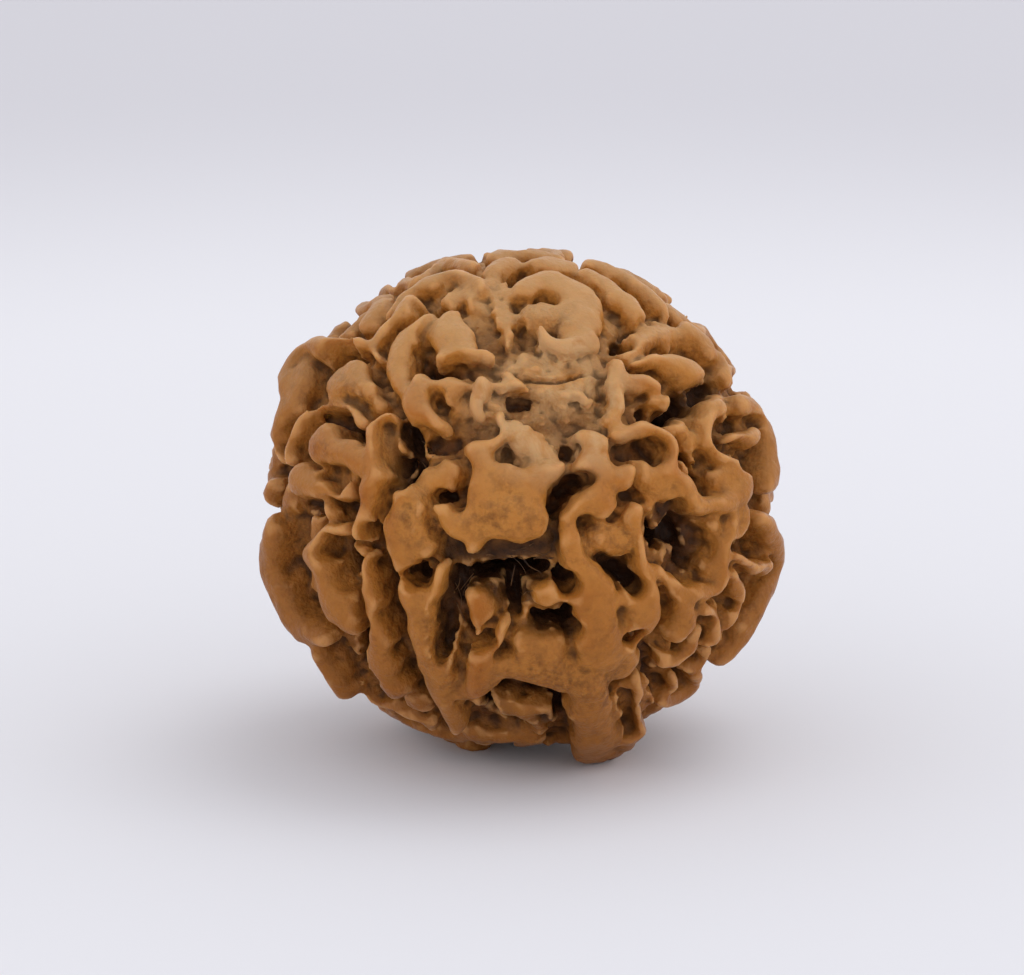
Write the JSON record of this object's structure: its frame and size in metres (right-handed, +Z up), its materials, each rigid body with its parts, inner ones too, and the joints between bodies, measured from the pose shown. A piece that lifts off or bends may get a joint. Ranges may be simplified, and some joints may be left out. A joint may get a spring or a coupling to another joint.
{
  "type": "rudraksha seed",
  "caption": "Dried rudraksha seed: a round woody stone whose whole surface is raised into blunt winding lobes with deep crevices between them.",
  "frame": {"origin": "on the surface the seed rests on, under the middle of its bounding box", "axes": "+Z up from the three feet it rests on; the drawn and pictured face looks along -Y"},
  "size_m": [0.0262, 0.0274, 0.0252],
  "materials": {
    "seed_shell": "satin"
  },
  "bodies": {
    "root": {"rudraksha_seed": "seed_shell"}
  },
  "joints": []
}
